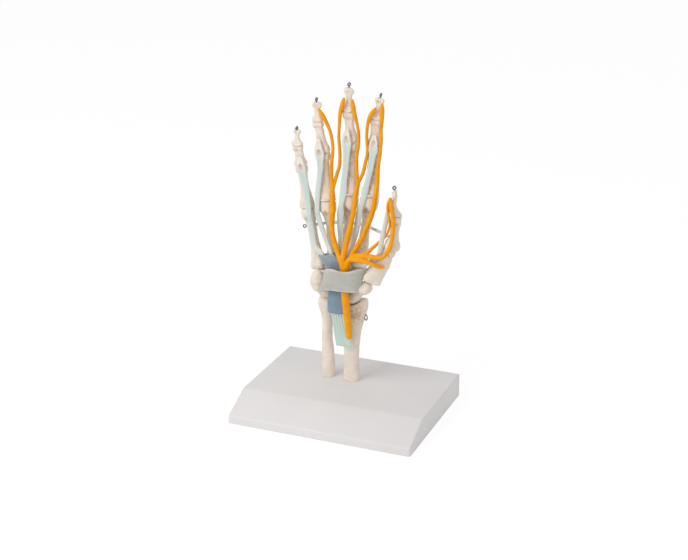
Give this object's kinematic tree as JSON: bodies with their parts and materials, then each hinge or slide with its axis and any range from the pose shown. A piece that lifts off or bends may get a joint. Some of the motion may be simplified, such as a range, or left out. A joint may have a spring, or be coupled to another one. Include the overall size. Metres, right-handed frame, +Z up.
{
  "type": "anatomical hand model",
  "caption": "Wired skeleton of a right hand with finger tendons, tendon sheath, wrist band and median nerve, standing on its forearm bones on a sloped base.",
  "frame": {"origin": "centre of the base's footprint on the surface it stands on", "axes": "+Z up to the fingertips, +X to the thumb side, -Y out of the palm towards the base's sloped front edge"},
  "size_m": [0.18, 0.14, 0.3151],
  "materials": {
    "bone": "ivory, satin, with brown shading in its hollows",
    "base": "off-white, matt, fine moulded grain",
    "steel": "drawn grey wire",
    "sleeve": "clear tube, greyish",
    "tendon": "pale blue-green, satin",
    "sheath": "slate blue, satin",
    "band": "warm grey, translucent, with fine cross grain",
    "nerve": "yellow-orange, glossy"
  },
  "bodies": {
    "stand": {"base": "base", "radius_screw": "steel", "ulna_screw": "steel", "radius": "bone", "ulna": "bone", "scaphoid": "bone", "lunate": "bone", "triquetrum": "bone", "pisiform": "bone", "trapezium": "bone", "trapezoid": "bone", "capitate": "bone", "hamate": "bone", "metacarpal_1": "bone", "metacarpal_2": "bone", "metacarpal_3": "bone", "metacarpal_4": "bone", "metacarpal_5": "bone", "thumb_proximal_phalanx": "bone", "ray_wire_thumb": "steel", "ray_wire_index": "steel", "ray_wire_middle": "steel", "ray_wire_ring": "steel", "ray_wire_little": "steel", "cross_wire": "steel", "wrist_wire": "steel", "sleeve_little_ring": "sleeve", "sleeve_ring_middle": "sleeve", "sleeve_middle_index": "sleeve", "sleeve_index_thumb": "sleeve", "flexor_tendon_index": "tendon", "flexor_tendon_middle": "tendon", "flexor_tendon_ring": "tendon", "flexor_tendon_little": "tendon", "flexor_tendon_thumb": "tendon", "tendon_sheath": "sheath", "flexor_retinaculum": "band", "median_nerve": "nerve"},
    "thumb_tip": {"thumb_distal_phalanx": "bone"},
    "index_finger": {"index_proximal_phalanx": "bone"},
    "index_middle": {"index_middle_phalanx": "bone"},
    "index_tip": {"index_distal_phalanx": "bone"},
    "middle_finger": {"middle_proximal_phalanx": "bone"},
    "middle_middle": {"middle_middle_phalanx": "bone"},
    "middle_tip": {"middle_distal_phalanx": "bone"},
    "ring_finger": {"ring_proximal_phalanx": "bone"},
    "ring_middle": {"ring_middle_phalanx": "bone"},
    "ring_tip": {"ring_distal_phalanx": "bone"},
    "little_finger": {"little_proximal_phalanx": "bone"},
    "little_middle": {"little_middle_phalanx": "bone"},
    "little_tip": {"little_distal_phalanx": "bone"}
  },
  "joints": [
    {"name": "index_knuckle", "type": "hinge", "parent": "stand", "child": "index_finger", "pos_m": [0.01619, 0.01622, 0.20208], "axis": [0.986, 0, -0.1668], "range_deg": [-10, 30], "deforming": ["ray_wire_index", "flexor_tendon_index", "median_nerve"]},
    {"name": "index_mid_joint", "type": "hinge", "parent": "index_finger", "child": "index_middle", "pos_m": [0.02219, 0.0124, 0.25347], "axis": [0.9943, 0, -0.1063], "range_deg": [0, 35], "deforming": ["ray_wire_index", "flexor_tendon_index", "median_nerve"]},
    {"name": "index_tip_joint", "type": "hinge", "parent": "index_middle", "child": "index_tip", "pos_m": [0.02487, 0.01026, 0.28035], "axis": [0.9952, 0, -0.0976], "range_deg": [0, 25], "deforming": ["ray_wire_index", "median_nerve"]},
    {"name": "middle_knuckle", "type": "hinge", "parent": "stand", "child": "middle_finger", "pos_m": [-0.00411, 0.01817, 0.20008], "axis": [0.9989, 0, -0.0471], "range_deg": [-10, 30], "deforming": ["ray_wire_middle", "flexor_tendon_middle", "median_nerve"]},
    {"name": "middle_mid_joint", "type": "hinge", "parent": "middle_finger", "child": "middle_middle", "pos_m": [-0.00151, 0.01495, 0.25521], "axis": [0.9989, 0, -0.0471], "range_deg": [0, 35], "deforming": ["ray_wire_middle", "flexor_tendon_middle", "median_nerve"]},
    {"name": "middle_tip_joint", "type": "hinge", "parent": "middle_middle", "child": "middle_tip", "pos_m": [-0.00222, 0.01287, 0.28351], "axis": [0.9991, 0, 0.0419], "range_deg": [0, 25], "deforming": ["ray_wire_middle", "median_nerve"]},
    {"name": "ring_knuckle", "type": "hinge", "parent": "stand", "child": "ring_finger", "pos_m": [-0.02457, 0.01625, 0.19323], "axis": [0.9966, 0, 0.0819], "range_deg": [-10, 30], "deforming": ["ray_wire_ring", "flexor_tendon_ring", "median_nerve"]},
    {"name": "ring_mid_joint", "type": "hinge", "parent": "ring_finger", "child": "ring_middle", "pos_m": [-0.02719, 0.01245, 0.24321], "axis": [0.9989, 0, 0.0471], "range_deg": [0, 35], "deforming": ["ray_wire_ring", "flexor_tendon_ring", "median_nerve"]},
    {"name": "ring_tip_joint", "type": "hinge", "parent": "ring_middle", "child": "ring_tip", "pos_m": [-0.03075, 0.00987, 0.27277], "axis": [0.991, 0, 0.134], "range_deg": [0, 25], "deforming": ["ray_wire_ring", "median_nerve"]},
    {"name": "little_knuckle", "type": "hinge", "parent": "stand", "child": "little_finger", "pos_m": [-0.0424, 0.01333, 0.18615], "axis": [0.9866, 0, 0.1633], "range_deg": [-10, 30], "deforming": ["ray_wire_little", "flexor_tendon_little"]},
    {"name": "little_mid_joint", "type": "hinge", "parent": "little_finger", "child": "little_middle", "pos_m": [-0.04714, 0.00899, 0.22976], "axis": [0.9952, 0, 0.0976], "range_deg": [0, 35], "deforming": ["ray_wire_little", "flexor_tendon_little"]},
    {"name": "little_tip_joint", "type": "hinge", "parent": "little_middle", "child": "little_tip", "pos_m": [-0.04966, 0.00685, 0.24958], "axis": [0.991, 0, 0.134], "range_deg": [0, 25], "deforming": ["ray_wire_little"]},
    {"name": "thumb_joint", "type": "hinge", "parent": "stand", "child": "thumb_tip", "pos_m": [0.0499, -0.0037, 0.19458], "axis": [0.3369, -0.9381, -0.0802], "range_deg": [0, 35], "deforming": ["ray_wire_thumb", "flexor_tendon_thumb", "median_nerve"]}
  ]
}
